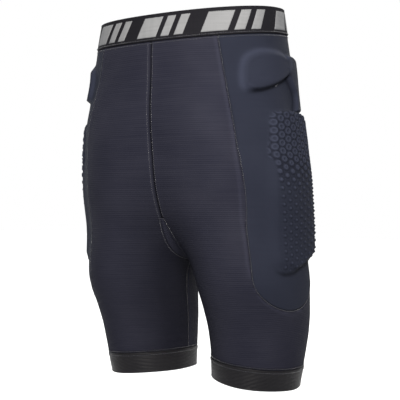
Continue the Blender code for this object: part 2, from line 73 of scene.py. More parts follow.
# Leg: height, centre x, centre y, half width, half depth
LEG = (
    (-0.180, 0.0550, -0.0050, 0.0800, 0.0880),
    (-0.260, 0.0690, 0.0110, 0.0750, 0.0900),
    (-0.340, 0.0830, 0.0155, 0.0700, 0.0865),
    (-0.410, 0.0840, 0.0335, 0.0620, 0.0780),
    (-0.475, 0.0800, 0.0350, 0.0560, 0.0665),
)
LEG_END = -0.100
LEG_BLEND = 0.0325
END_BLEND = (0.110, 0.080)  # torso, leg
LONGEST_RAY = 0.300  # from an axis to the form

# The waist slopes up towards the back, and each hem down towards the outer side.
WAIST_SLOPE = 0.14
BAND_HEIGHT = 0.0345
HEM_BOTTOM = -0.475
HEM_TOP = -0.4475
HEM_SLOPE = (-0.10, -0.06)  # outwards, backwards
HEM_CENTRE = 0.085

# Thicknesses, and how far each outer face stands off the form
CLOTH = 0.0010
BAND_THICK = 0.0018
BAND_LIFT = 0.0006
BAR_THICK = 0.0004
HEM_THICK = 0.0015
HEM_LIFT = 0.0005
NET_THICK = 0.0006
NET_LIFT = -0.0027
TAPE_WIDTH = 0.011
TAPE_THICK = 0.0004
TAPE_LIFT = -0.0018
GAP = 0.0003

# Seams. The front one is a list of height and angle, from the waist down.
FRONT_SEAM = (
    (-0.045, 28.5), (-0.110, 32.5), (-0.175, 36.5),
    (-0.215, 34.0), (-0.265, 28.5), (-0.335, 26.0),
)
BACK_SEAM = 150.0
# The tongue at the side cover's lower end
TONGUE_SHOULDER = -0.335
TONGUE_LOW = -0.377
TONGUE_LOW_ANGLE = 66.0
TONGUE_BACK = -0.310

# The gusset, found by rays from a point above the saddle
GUSSET_EYE = (0.0, 0.012, -0.215)
GUSSET_SWEEP = 60.0  # degrees to its front tip, and to its back one
GUSSET_HALF = 0.0130
GUSSET_TIP = 0.0010

# A panel's rows run from 0 at the waist to 1 at the hem. Here its inner edge reaches
# the gusset's tip and corner.
TIP_AT = 0.40
CORNER_AT = 0.70
# Heights down the back seam at those rows
SEAM_AT_TIP = -0.250
SEAM_AT_CORNER = -0.320
SEAM_TOP = 0.010  # where it starts above the band's lower edge
SEAM_END = 0.006  # and ends below the hem band's upper edge
FREE_ROWS = 6.0  # how soon a panel's rows leave the planes of its two ends
ROUNDING = 1e-4

SIDES = (("left", 1), ("right", -1))
ARC = 0.086  # metres of cloth for each radian round a leg
WAIST_ARC = 0.112  # and round the waist


def table_value(table, column, height):
    """One of the table's columns at a height, smooth between its rows and straight beyond them."""
    knots = np.array(table)[::-1, 0]
    values = np.array(table)[::-1, column]
    slopes = np.gradient(values, knots)
    held = np.clip(height, knots[0], knots[-1])
    span = np.clip(np.searchsorted(knots, held) - 1, 0, len(knots) - 2)
    width = knots[span + 1] - knots[span]
    t = (held - knots[span]) / width
    value = (1 + 2 * t) * (1 - t) ** 2 * values[span]
    value += (3 - 2 * t) * t**2 * values[span + 1]
    value += t * (1 - t) ** 2 * width * slopes[span]
    value -= t**2 * (1 - t) * width * slopes[span + 1]
    return value + (height - held) * np.where(height < knots[0], slopes[0], slopes[-1])


def round_min(a, b, reach):
    """The smaller of two values, rounded where they are within reach of each other."""
    h = np.clip(0.5 + 0.5 * (b - a) / reach, 0, 1)
    return b * (1 - h) + a * h - reach * h * (1 - h)


def field(point):
    """Below zero inside the form, zero on it."""
    x = np.abs(point[..., 0])
    y = point[..., 1]
    z = point[..., 2]
    width = table_value(TORSO, 1, z)
    depth = np.where(y < 0, table_value(TORSO, 2, z), table_value(TORSO, 3, z))
    reach = ((x / width) ** TORSO_POWER + (np.abs(y) / depth) ** TORSO_POWER) ** (1 / TORSO_POWER)
    torso = (reach - 1) * np.minimum(width, depth)
    torso = -round_min(-torso, z - TORSO_END, END_BLEND[0])
    width = table_value(LEG, 3, z)
    depth = table_value(LEG, 4, z)
    reach = np.hypot((x - table_value(LEG, 1, z)) / width, (y - table_value(LEG, 2, z)) / depth)
    leg = (reach - 1) * np.minimum(width, depth)
    leg = -round_min(-leg, LEG_END - z, END_BLEND[1])
    return round_min(torso, leg, LEG_BLEND)


def slope_of(point):
    """Slope of the form's field, by small steps along the axes."""
    step = 1e-5
    found = [field(point + step * axis) - field(point - step * axis) for axis in np.eye(3)]
    return np.stack(found, axis=-1) / (2 * step)


def normal(point):
    slope = slope_of(point)
    return slope / np.linalg.norm(slope, axis=-1, keepdims=True)


def settle(point):
    """Move points onto the form."""
    for _ in range(6):
        slope = slope_of(point)
        point = point - (field(point) / (slope**2).sum(axis=-1))[..., None] * slope
    return point


def cast(start, direction, reach=LONGEST_RAY):
    """Where rays that start inside the form leave it, by halving."""
    near = np.zeros(start.shape[:-1])
    far = near + reach
    for _ in range(24):
        middle = (near + far) / 2
        inside = field(start + direction * middle[..., None]) < 0
        near = np.where(inside, middle, near)
        far = np.where(inside, far, middle)
    return start + direction * near[..., None]


def leg_axis(height):
    """Centre of a leg at a height. Above the legs it leans in under the waist."""
    rise = np.clip((height - LEG[0][0]) / -LEG[0][0], 0, 1)
    above = height > LEG[0][0]
    x = np.where(above, LEG[0][1] * (1 - 0.35 * rise), table_value(LEG, 1, height))
    y = np.where(above, LEG[0][2] * (1 - rise), table_value(LEG, 2, height))
    return x, y


def on_leg(angle, height):
    turn = np.radians(angle)
    x, y = leg_axis(height)
    start = np.stack([x, y, height], axis=-1)
    reach = x / np.maximum(-np.sin(turn), x / LONGEST_RAY)
    return cast(start, np.stack([np.sin(turn), -np.cos(turn), 0 * turn], axis=-1), reach)


def on_torso(angle, height):
    turn = np.radians(angle)
    start = np.stack([0 * turn, 0 * turn + TORSO_AXIS, height], axis=-1)
    return cast(start, np.stack([np.sin(turn), -np.cos(turn), 0 * turn], axis=-1))


def leg_angle(point):
    x, y = leg_axis(point[..., 2])
    return np.degrees(np.arctan2(point[..., 0] - x, y - point[..., 1]))


def waist_plane(point, drop):
    return WAIST_SLOPE * point[..., 1] - drop


def hem_plane(point, level):
    return level + HEM_SLOPE[0] * (np.abs(point[..., 0]) - HEM_CENTRE) + HEM_SLOPE[1] * point[..., 1]


def on_plane(chart, angle, plane, level):
    """Height at which a chart's line at this angle meets the waist's or a hem's plane."""
    height = 0 * angle + (-level if plane is waist_plane else level)
    for _ in range(6):
        height = plane(chart(angle, height), level)
    return height


def share(v, first, last):
    """0 at first, 1 at last, straight between and held beyond."""
    return np.clip((v - first) / (last - first), 0, 1)


def ease(t):
    """0 to 1 with a soft start and end."""
    t = np.clip(t, 0, 1)
    return t * t * (3 - 2 * t)


def bump(distance, width):
    """A round hump of height 1 at distance 0."""
    return np.exp(-((distance / width) ** 2))


def cloth_across(angle):
    """Metres of cloth round a leg for a number of degrees."""
    return angle * np.radians(1) * ARC


# ---- panel outlines, as in the CAD


def middle_point(sweep):
    """A point on the middle line under the crotch, at an angle from straight down."""
    turn = np.radians(sweep)
    start = np.array(GUSSET_EYE) + 0 * turn[..., None]
    return cast(start, np.stack([0 * turn, np.sin(turn), -np.cos(turn)], axis=-1))


def gusset_point(across, along, margin=0.0):
    """across runs -1 to 1 from side to side, along -1 to 1 from the front tip to the back one."""
    half = GUSSET_HALF * np.cos(np.radians(90) * along) + GUSSET_TIP + margin
    point = middle_point(GUSSET_SWEEP * along)
    point[..., 0] = across * half
    return settle(point)


def centre_point(front, height):
    start = np.stack([0 * height + GAP / 2, 0 * height + TORSO_AXIS, height], axis=-1)
    return cast(start, np.array([0.0, -1.0 if front else 1.0, 0.0]) + 0 * start)


def centre_top(front):
    """Height at which a centre seam starts, under the band."""
    return on_plane(
        lambda angle, height: centre_point(front, height), np.zeros(1), waist_plane, BAND_HEIGHT
    )[0]


def centre_line(front, clear=0.0):
    """A centre seam from the band to the gusset, stopping this far short of both."""
    tip = gusset_point(np.zeros(1), np.array([-1.0 if front else 1.0]))[0]
    path = centre_point(front, np.linspace(centre_top(front) - clear, tip[2] + clear, 60))
    path[:, 0] = 0
    return path


def inner_edge(front, v):
    """A panel's edge down the centre seam, along the gusset and down the inseam."""
    tip = gusset_point(np.ones(1), np.array([-1.0 if front else 1.0]), GAP)[0]
    corner = gusset_point(np.ones(1), np.zeros(1), GAP)[0]
    top = centre_top(front) - GAP
    seam = centre_point(front, top + (tip[2] - top) * share(v, 0, TIP_AT))
    along = (1 - share(v, TIP_AT, CORNER_AT)) * (-1 if front else 1)
    gusset = gusset_point(np.ones_like(v), along, GAP)
    down = share(v, CORNER_AT, 1)
    corner_angle = leg_angle(corner[None])[0]
    end = on_plane(on_leg, np.array([-90.0]), hem_plane, HEM_TOP)[0] + GAP
    half_gap = np.degrees(GAP / 2 / LEG[3][3]) * (1 if front else -1)
    angle = corner_angle + (-90 - corner_angle) * down + half_gap
    inseam = on_leg(angle, corner[2] + (end - corner[2]) * down)
    upper = np.where((v < TIP_AT - ROUNDING)[:, None], seam, gusset)
    return np.where((v > CORNER_AT + ROUNDING)[:, None], inseam, upper)


def outer_height(v):
    """Height down the back seam for each row of a panel."""
    heights = [-BAND_HEIGHT + SEAM_TOP, SEAM_AT_TIP, SEAM_AT_CORNER, HEM_TOP - SEAM_END]
    return np.interp(v, [0, TIP_AT, CORNER_AT, 1], heights)


def around_leg(point, past_back):
    """Angle, height and radius round the leg. past_back counts the inner side as beyond 180 degrees."""
    x, y = leg_axis(point[:, 2])
    angle = leg_angle(point)
    angle = np.where((angle < 0) & past_back, angle + 360, angle)
    return np.stack([angle, point[:, 2], np.hypot(point[:, 0] - x, point[:, 1] - y)])


def panel(front, u, v):
    """A point of a front or back panel, joined round the leg and settled on the form."""
    half_gap = np.degrees(GAP / 2 / LEG[1][4]) * (-1 if front else 1)
    along = u if front else 1 - u
    steps, at = np.unique(v, return_inverse=True)
    inner = around_leg(inner_edge(front, steps), not front)
    outer = around_leg(on_leg(BACK_SEAM + half_gap + 0 * steps, outer_height(steps)), False)

    def blended(row):
        return inner[:, row] + (outer[:, row] - inner[:, row]) * along

    angle, height, radius = blended(at)
    angle_top, height_top, _ = blended(0 * at)
    angle_low, height_low, _ = blended(0 * at + len(steps) - 1)
    top = on_plane(on_leg, angle_top, waist_plane, BAND_HEIGHT) - GAP
    low = on_plane(on_leg, angle_low, hem_plane, HEM_TOP) + GAP
    height = height + (top - height_top) * (1 - v) ** 3 + (low - height_low) * v**3
    x, y = leg_axis(height)
    turn = np.radians(angle)
    joined = np.stack([x + radius * np.sin(turn), y - radius * np.cos(turn), height], axis=-1)
    level = on_leg(angle, height)
    free = np.clip(FREE_ROWS * v * (1 - v), 0, 1)
    beside_gusset = (v > TIP_AT - ROUNDING) & (v < CORNER_AT + ROUNDING)
    free = np.where((along < ROUNDING) & beside_gusset, 1, free)
    return settle(level + (joined - level) * free[:, None])


def seam_angle(height):
    return np.interp(height, *zip(*FRONT_SEAM[::-1]))


def tongue_height(angle):
    """The side cover's lower edge: a quarter oval in front, then a rise to the back seam."""
    first = seam_angle(TONGUE_SHOULDER)
    ahead = share(angle, TONGUE_LOW_ANGLE, first)
    behind = np.maximum(angle - TONGUE_LOW_ANGLE, 0) / (BACK_SEAM - TONGUE_LOW_ANGLE)
    rise = (TONGUE_SHOULDER - TONGUE_LOW) * (1 - np.sqrt(1 - np.minimum(ahead, 1) ** 2))
    return TONGUE_LOW + rise + (TONGUE_BACK - TONGUE_LOW) * behind**2


def cover_chart(angle_share, v, inset=0.0, past_seam=0.0):
    """Angle and height in the side cover, whose angle_share runs from the front seam to the back seam."""
    turn = np.degrees(inset / LEG[1][4])
    seam_top = FRONT_SEAM[0][0]
    left = seam_angle(seam_top + (TONGUE_SHOULDER - seam_top) * v) + turn
    angle = left + (BACK_SEAM - turn - left) * angle_share + past_seam * share(angle_share, 0.9, 1)
    top = on_plane(on_leg, angle, waist_plane, BAND_HEIGHT + GAP + inset)
    low = tongue_height(angle) + inset
    return angle, top + (low - top) * v


# ---- making meshes


def uneven(stops, counts):
    """Stations from 0 to 1 with a given count of even steps between each pair of stops."""
    parts = [np.linspace(a, b, n, endpoint=False) for a, b, n in zip(stops, stops[1:], counts)]
    return np.append(np.concatenate(parts), stops[-1])


def grid(across, down):
    """A sheet's rows and columns, then its u and v. A whole number stands for even stations."""
    lines = [np.linspace(0, 1, line) if isinstance(line, int) else line for line in (across, down)]
    u, v = np.meshgrid(*lines)
    return u.shape, u.ravel(), v.ravel()


def solid(name, size, base, inner, outer, side=1, ring=False, uv=None, painted_shading=None):
    """A closed sheet between two lifts along the form's normal, over a grid of this size.

    side -1 mirrors it, and ring joins its first and last columns.
    """
    direction = normal(base)
    low = base + direction * np.broadcast_to(inner, len(base))[:, None]
    high = base + direction * np.broadcast_to(outer, len(base))[:, None]
    points = np.concatenate([high, low]) * np.array([side, 1, 1])
    index = np.arange(len(base)).reshape(size)
    if ring:
        index = np.concatenate([index, index[:, :1]], axis=1)
    corners = [index[:-1, :-1], index[1:, :-1], index[1:, 1:], index[:-1, 1:]]
    quads = np.stack(corners, axis=-1).reshape(-1, 4)
    below = quads[:, ::-1] + len(base)
    rims = [(index[0], False), (index[-1], True)]
    if not ring:
        rims += [(index[:, 0], True), (index[:, -1], False)]
    faces = [quads, below]
    for line, forward in rims:
        a = line[:-1] if forward else line[1:]
        b = line[1:] if forward else line[:-1]
        faces.append(np.stack([b, a, a + len(base), b + len(base)], axis=-1))
    faces = np.concatenate(faces)
    if side < 0:
        faces = faces[:, ::-1]
    return mesh_object(name, points, faces.tolist(), uv, painted_shading)


def mesh_object(name, points, faces, uv=None, painted_shading=None):
    """uv and rub are given for one face of a sheet, and hold for both."""
    mesh = bpy.data.meshes.new(name)
    mesh.from_pydata(points.tolist(), [], faces)
    # rub holds painted highlights and painted shade, which the knit looks multiply into their colour
    if painted_shading is not None:
        painted_shade_layer = mesh.attributes.new("painted_shading", "FLOAT", "POINT")
        painted_shade_layer.data.foreach_set("value", np.tile(painted_shading, 2).astype(np.float32))
    if uv is not None:
        layer = mesh.uv_layers.new(name="cloth")
        both = np.concatenate([uv, uv])
        corners = np.zeros(len(mesh.loops), dtype=np.int32)
        mesh.loops.foreach_get("vertex_index", corners)
        layer.data.foreach_set("uv", both[corners].ravel().astype(np.float32))
    mesh.shade_smooth()
    mesh.update()
    return add_object(name, mesh)


def add_object(name, data):
    made = bpy.data.objects.new(name, data)
    bpy.context.scene.collection.objects.link(made)
    return made


def dress(made, look, slot, *nodes):
    """Give a piece its material and hang it on the root body. nodes are the CAD nodes that it replaces.
    slot is not used.
    """
    made.data.materials.clear()
    made.data.materials.append(look)
    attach(made, "root")
    if nodes:
        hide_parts(*nodes)
    return made


# ---- materials


class Nodes:
    """A short way to wire a material's nodes. A value is a number, a colour or another node's output."""

    def __init__(self, name, colour, roughness, sheen=0.0, sheen_colour=(1, 1, 1), gloss=0.03):
        self.made = bpy.data.materials.new(name)
        self.made.use_nodes = True
        self.tree = self.made.node_tree
        self.shader = self.tree.nodes["Principled BSDF"]
        tints = {"Base Color": (*colour, 1), "Sheen Tint": (*sheen_colour, 1), "Roughness": roughness}
        shine = {"Sheen Weight": sheen, "Sheen Roughness": 0.45, "Specular IOR Level": gloss}
        for key, value in {**tints, **shine}.items():
            self.drive(key, value)

    def put(self, value, socket):
        if isinstance(value, bpy.types.NodeSocket):
            self.tree.links.new(value, socket)
        else:
            socket.default_value = value

    def drive(self, name, value):
        self.put(value, self.shader.inputs[name])

    def add(self, kind, inputs=(), **settings):
        node = self.tree.nodes.new("ShaderNode" + kind)
        for key, value in settings.items():
            setattr(node, key, value)
        for key, value in dict(inputs).items():
            self.put(value, node.inputs[key])
        return node

    def math(self, operation, a, b=0.0):
        return self.add("Math", {0: a, 1: b}, operation=operation).outputs[0]

    def plus(self, a, b):
        return self.math("ADD", a, b)

    def times(self, a, b):
        return self.math("MULTIPLY", a, b)

    def ramp(self, value, low, high, first, last):
        limits = {"Value": value, "From Min": low, "From Max": high, "To Min": first, "To Max": last}
        return self.add("MapRange", limits).outputs["Result"]

    def mix(self, part, first, last):
        ends = {"Factor": part, "A": (*first, 1), "B": (*last, 1)}
        return self.add("Mix", ends, data_type="RGBA").outputs["Result"]

    def place(self, kind):
        return self.add("TexCoord").outputs[kind]

    def axes(self):
        """Metres of cloth across and down, from the UV map."""
        split = self.add("SeparateXYZ", {0: self.place("UV")})
        return split.outputs["X"], split.outputs["Y"]

    def noise(self, place, scale, detail, stretch=None):
        if stretch:
            place = self.add("Mapping", {"Vector": place, "Scale": stretch}).outputs["Vector"]
        texture = {"Vector": place, "Scale": scale, "Detail": detail}
        return self.add("TexNoise", texture).outputs["Fac"]

    def wave(self, value, pitch):
        """A wave from 0 to 1 with this pitch, in the units of value."""
        turned = self.times(value, 2 * math.pi / pitch)
        return self.plus(self.times(self.math("SINE", turned), 0.5), 0.5)

    def bumps(self, height, distance, strength):
        relief = {"Height": height, "Distance": distance, "Strength": strength}
        self.drive("Normal", self.add("Bump", relief).outputs["Normal"])


KNIT_SHEEN = 0.004
KNIT_RELIEF = 0.00030
PAINTED_SHADE_RANGE = (0.30, 1.70)  # how dark the painted shade in a groove is, and how pale the painted highlight on a ridge


def knit_cloth(name, dark, light, roughness, gloss, course, wale, courses, painted_shade_layer=False):
    """Fine knit with an uneven tone. course and wale are its pitches down and across.

    courses is the share of the relief that the courses take, and rubbed makes it read the
    pieces' rub attribute: painted highlights on ridges and painted shade in grooves.
    """
    nodes = Nodes(name, dark, roughness, KNIT_SHEEN, (0.75, 0.78, 0.90), gloss)
    uv = nodes.place("UV")
    across, down = nodes.axes()
    drift = nodes.noise(uv, 40.0, 2.0)
    rows = nodes.wave(nodes.plus(down, nodes.times(drift, 0.0012)), course)
    lines = nodes.wave(across, wale)
    tone = nodes.noise(uv, 14.0, 4.0)
    streak = nodes.noise(uv, 1.0, 2.0, stretch=(14.0, 420.0, 1.0))
    blend = nodes.plus(nodes.times(tone, 0.62), nodes.times(streak, 0.38))
    blend = nodes.plus(blend, nodes.times(rows, 0.12))
    colour = nodes.mix(nodes.ramp(blend, 0.30, 0.80, 0, 1), dark, light)
    # Painted highlights and painted shade from the pieces' attribute, multiplied into the colour
    if painted_shade_layer:
        painted_shading = nodes.add("Attribute", attribute_name="painted_shading")
        pale = nodes.ramp(painted_shading.outputs["Fac"], -1, 1, *PAINTED_SHADE_RANGE)
        both = {"Factor": 1.0, "A": colour, "B": pale}
        colour = nodes.add("Mix", both, data_type="RGBA", blend_type="MULTIPLY").outputs["Result"]
    nodes.drive("Base Color", colour)
    nodes.drive("Roughness", nodes.ramp(streak, 0.3, 0.7, roughness - 0.06, roughness + 0.06))
    loops = nodes.times(lines, 1 - courses)
    height = nodes.plus(nodes.times(rows, courses), loops)
    height = nodes.plus(height, nodes.times(streak, 0.4))
    nodes.bumps(height, KNIT_RELIEF, 0.8)
    return nodes.made


KNIT = knit_cloth(
    "warp_knit", (0.0059, 0.0061, 0.0103), (0.0110, 0.0111, 0.0163), 0.66, 0.010,
    course=0.0024, wale=0.0009, courses=0.75, painted_shade_layer=True,
)
COVER = knit_cloth(
    "stretch_cover", (0.0070, 0.0079, 0.0130), (0.0098, 0.0110, 0.0172), 0.66, 0.012,
    course=0.0008, wale=0.0008, courses=0.5, painted_shade_layer=True,
)
BAND = knit_cloth(
    "woven_elastic", (0.0038, 0.0037, 0.0048), (0.0065, 0.0063, 0.0077), 0.75, 0.012,
    course=0.0009, wale=0.0016, courses=0.3,
)
MOTIF = knit_cloth(
    "woven_grey", (0.0774, 0.0783, 0.0827), (0.1144, 0.1153, 0.1206), 0.80, 0.03,
    course=0.0009, wale=0.0016, courses=0.4,
)
HEM = knit_cloth(
    "hem_elastic", (0.0036, 0.0035, 0.0043), (0.0072, 0.0069, 0.0081), 0.45, 0.05,
    course=0.0013, wale=0.0011, courses=0.9,
)


def plain_look(name, colour, roughness, grain, depth, sheen=0.0):
    """One colour with fine specks, which also vary its roughness. grain is their scale."""
    nodes = Nodes(name, colour, roughness, sheen)
    speck = nodes.noise(nodes.place("Object"), grain, 3.0)
    lighter = tuple(min(1.0, c * 1.35) for c in colour)
    darker = tuple(c * 0.75 for c in colour)
    nodes.drive("Base Color", nodes.mix(nodes.ramp(speck, 0.3, 0.7, 0, 1), darker, lighter))
    nodes.drive("Roughness", nodes.ramp(speck, 0.3, 0.7, roughness - 0.05, roughness + 0.08))
    nodes.bumps(speck, depth, 0.8)
    return nodes.made


THREAD = plain_look("sewing_thread", (0.013, 0.013, 0.018), 0.50, 2500.0, 0.0001, 0.2)
FOAM = plain_look("closed_cell_foam", (0.060, 0.062, 0.070), 0.88, 900.0, 0.0003)
SILICONE = plain_look("silicone_print", (0.070, 0.070, 0.075), 0.35, 500.0, 0.00005)
LABEL = plain_look("satin_label", (0.60, 0.60, 0.58), 0.45, 1500.0, 0.00005, 0.3)


NET_PITCH = 0.0022


def net_look():
    """Fine net: dark holes in a diamond lattice of threads."""
    nodes = Nodes("net_lining", (0.012, 0.012, 0.013), 0.8, 0.25)
    across, down = nodes.axes()
    first = nodes.wave(nodes.plus(across, down), NET_PITCH)
    second = nodes.wave(nodes.math("SUBTRACT", across, down), NET_PITCH)
    hole = nodes.times(first, second)
    lattice = nodes.ramp(hole, 0.25, 0.55, 0, 1)
    nodes.drive("Base Color", nodes.mix(lattice, (0.030, 0.030, 0.033), (0.004, 0.004, 0.004)))
    nodes.bumps(nodes.math("SUBTRACT", 1.0, hole), 0.0003, 0.9)
    return nodes.made


NET = net_look()

# ---- the pads' relief under the cover

def smooth_outline(knots, steps=6):
    """A closed curve through the knots, in millimetres of cloth."""
    line = np.array(knots, float) * np.array([np.radians(1) * ARC * 1000, 1])
    before = np.roll(line, 1, axis=0)
    after = np.roll(line, -1, axis=0)
    beyond = np.roll(line, -2, axis=0)
    parts = []
    for t in np.arange(steps) / steps:
        parts.append(
            0.5 * (2 * line + (after - before) * t + (2 * before - 5 * line + 4 * after - beyond) * t**2
                   + (3 * line - before - 3 * after + beyond) * t**3)
        )
    return np.stack(parts, axis=1).reshape(-1, 2)


# Outlines in degrees round the leg and millimetres of height
HIP_OUTLINE = smooth_outline((
    (43, -110), (42, -91), (46, -71), (57, -60.5), (72, -57.5), (88, -59), (98, -66), (97, -79),
    (90.5, -87), (85, -92), (76, -99), (66, -105.5), (55, -110),
))
REAR_OUTLINE = smooth_outline((
    (90, -64), (104, -60), (122, -66), (131, -92), (127, -119), (113, -131), (99, -131), (103, -119),
    (103.5, -109), (97, -98), (91, -86),
))
THIGH_OUTLINE = smooth_outline((
    (64, -137), (60.5, -165), (57, -193), (49, -232), (43.5, -280), (43.5, -312), (52, -326), (70, -327),
    (90, -318), (110, -317), (126, -303), (134, -256), (135, -190), (130, -150), (112, -135), (86, -132),
))
HIP_LIFT = 0.0064
REAR_LIFT = 0.0068
FOOT_REACH = 0.010  # how far outside a pad's outline the cloth starts to rise
FOOT_WIDTH = 0.012
CHAMFER_REACH = 0.0022  # and how far outside it the chamfer starts
FAR = 1e9


def inside_by(outline, angle, height):
    """How far inside an outline a place is, in metres: below zero outside it."""
    x = np.radians(angle) * ARC * 1000
    y = height * 1000
    best = np.full(len(x), FAR)
    inside = np.zeros(len(x), dtype=bool)
    for a, b in zip(outline, np.roll(outline, -1, axis=0)):
        edge = b - a
        t = np.clip(((x - a[0]) * edge[0] + (y - a[1]) * edge[1]) / (edge @ edge), 0, 1)
        best = np.minimum(best, np.hypot(x - a[0] - t * edge[0], y - a[1] - t * edge[1]))
        crosses = (a[1] > y) != (b[1] > y)
        inside ^= crosses & (x < a[0] + (y - a[1]) / (edge[1] if edge[1] else 1e-9) * edge[0])
    return np.where(inside, best, -best) / 1000


RING_PITCH = 0.0096
COLUMN_PITCH = 0.0088
RING_HEIGHT = 0.0015
RING_RADIUS = 0.0030
RING_FRONT = (56.5, 62.0)  # the rings start behind these angles: at the top, lower down
COLUMN_TILT = 50.0  # degrees for each metre below the rings
TILT_FROM = -0.190
EVEN_UNTIL = 60.0  # behind this angle the columns slowly move apart
RINGS_UNTIL = -0.185
DOTS_FROM = -0.230


def rings(angle, height, inside):
    """Raised rings in staggered columns, which close into dots further down.

    Gives their rise, and a painted highlight on them with painted shade round them.
    """
    angle = angle + COLUMN_TILT * np.maximum(TILT_FROM - height, 0)
    past = np.maximum(angle - EVEN_UNTIL, 0)
    x = np.radians(np.minimum(angle, EVEN_UNTIL) + past / (1 + 0.0035 * past)) * ARC
    column = np.round(x / COLUMN_PITCH)
    best = np.full(len(x), FAR)
    for step in (-1, 0, 1):
        line = column + step
        shift = np.where(line % 2 == 0, 0.0, RING_PITCH / 2)
        row = np.round((height - shift) / RING_PITCH)
        best = np.minimum(best, np.hypot(x - line * COLUMN_PITCH, height - shift - row * RING_PITCH))
    down = share(height, RINGS_UNTIL, DOTS_FROM)
    radius = RING_RADIUS * (1 - down)
    width = 0.0010 + 0.0008 * down
    front = RING_FRONT[0] + (RING_FRONT[1] - RING_FRONT[0]) * share(height, -0.187, -0.195)
    edge = np.minimum(share(angle, front, front + 1.5), share(inside, 0.0005, 0.0025))
    rise = bump(best - radius, width) * edge
    shade = bump(best - radius - 0.0022, 0.0013) * edge
    return RING_HEIGHT * (1 + 0.25 * down) * rise, (1 + 0.3 * down) * rise - 0.60 * shade


def pad_rise(inside, foot, chamfer):
    """0 to 1 over a pad: a low foot outside its outline, then a chamfer of this width."""
    low = foot * ease((inside + FOOT_REACH) / FOOT_WIDTH)
    return low + (1 - foot) * ease((inside + CHAMFER_REACH) / chamfer)


def relief(angle, height):
    """How far the cover's outer face stands off the form, and its painted highlights and painted shade.
    """
    hip = inside_by(HIP_OUTLINE, angle, height)
    rear = inside_by(REAR_OUTLINE, angle, height)
    thigh = inside_by(THIGH_OUTLINE, angle, height)
    # 1 along the front lobe's lower edge, which is steeper than the rest of its rim
    edge = np.interp(angle, [46, 66, 76, 85, 90.5], [-0.1105, -0.1055, -0.0990, -0.0920, -0.0870])
    low = share(height - edge, 0.016, 0.004) * share(angle, 98, 92) * share(angle, 45, 53)
    lobe = HIP_LIFT * pad_rise(hip, 0.10, 0.0125 - 0.0090 * low)
    lobe += 0.0004 * bump(hip - 0.0090, 0.0022) * (1 - low)
    back = REAR_LIFT * pad_rise(rear, 0.10, 0.0055)
    # The thigh pad is thicker towards the outer side and bulges low in front.
    full = 0.0055 + 0.0035 * share(angle, 60, 108)
    full += 0.0026 * bump(height + 0.272, 0.055) * share(angle, 40, 75)
    chamfer = 0.0050 + 0.0130 * share(angle, 80, 55)
    chamfer += 0.0100 * share(angle, 85, 110) * share(height, -0.272, -0.295)
    pad = full * pad_rise(thigh, 0.12, chamfer)
    raised, ring_shading = rings(angle, height, thigh)
    # Painted highlights on the rings and painted shade round them
    painted_shading = 0.95 * ring_shading
    # Painted highlight along the front lobe's rim and over its top, and painted shadow under its lower
    # edge
    painted_shading += 0.85 * bump(hip - 0.0030, 0.0036) * (1 - low) - 0.9 * bump(hip + 0.0016, 0.0022) * low
    painted_shading += 0.15 * share(hip, 0.002, 0.008)
    # Painted shade in the groove between the lobes and painted highlight along the rear lobe
    below_lobe = share(height, -0.082, -0.094)
    painted_shading -= 0.6 * bump(rear + 0.0022, 0.0026) * below_lobe * share(hip, 0.001, -0.002)
    painted_shading += 0.4 * bump(rear - 0.0020, 0.0020) * below_lobe
    # Painted shadow under the thigh pad's lower front corner
    painted_shading -= 0.8 * bump(thigh + 0.0026, 0.0026) * share(height, -0.290, -0.312) * share(angle, 46, 57)
    return np.maximum(np.maximum(lobe, back), pad) + raised, painted_shading


def edge_fall(distance, depth, width):
    """Cloth turned in at a seam, this far from it."""
    return -depth * bump(np.maximum(distance, 0), width)


# ---- cloth pieces


def wrinkles(point, size):
    """Slight unevenness that keeps cloth from looking machined."""
    x, y, z = point[:, 0], point[:, 1], point[:, 2]
    soft = np.sin(61 * z + 17 * x + 1.3) * np.sin(43 * x - 29 * y + 0.4)
    fine = np.sin(170 * z + 40 * y) * np.sin(90 * x + 60 * z + 2.1)
    return size * (0.7 * soft + 0.3 * fine)


def cloth_uv(point, angle, arc=ARC):
    """Metres of cloth round a leg or the waist, and height."""
    return np.stack([np.radians(angle) * arc, point[:, 2]], axis=-1)


def make_side_covers():
    across = uneven((0.0, 0.27, 0.90, 1.0), (30, 105, 12))
    down = uneven((0.0, 0.05, 0.28, 0.86, 1.0), (8, 58, 190, 34))
    size, u, v = grid(across, down)
    angle, height = cover_chart(u, v)
    base = on_leg(angle, height)
    near = np.minimum(cloth_across(angle - seam_angle(height)), height - tongue_height(angle))
    near = np.minimum(near, cloth_across(BACK_SEAM - angle))
    high, painted_shading = relief(angle, height)
    high += wrinkles(base, 0.00025)
    lift = high * ease(near / 0.006) + edge_fall(near, 0.0006, 0.0012)
    lift += 0.0009 * ease(near / 0.0025) * share(height, -0.320, -0.345)
    # Painted shade along the cover's seams and tongue edge
    painted_shading -= 0.25 * bump(near, 0.0016)
    uv = cloth_uv(base, angle)
    for word, side in SIDES:
        made = solid(f"side_cover_cloth_{word}", size, base, lift - CLOTH, lift, side, uv=uv, painted_shading=painted_shading)
        dress(made, COVER, "cover", f"side_cover_{word}")


def make_opening_cutters():
    """Thick copies of the side covers' outlines, which cut the front panels."""
    size, u, v = grid(61, uneven((0.0, 0.05, 1.0), (4, 70)))
    angle, height = cover_chart(u, v, inset=-GAP, past_seam=6.0)
    height = height + 0.0015 * (1 - share(v, 0, 0.05))
    base = on_leg(angle, height)
    reach = 0.0045
    return [solid(f"cover_opening_{word}", size, base, -reach, reach, side) for word, side in SIDES]


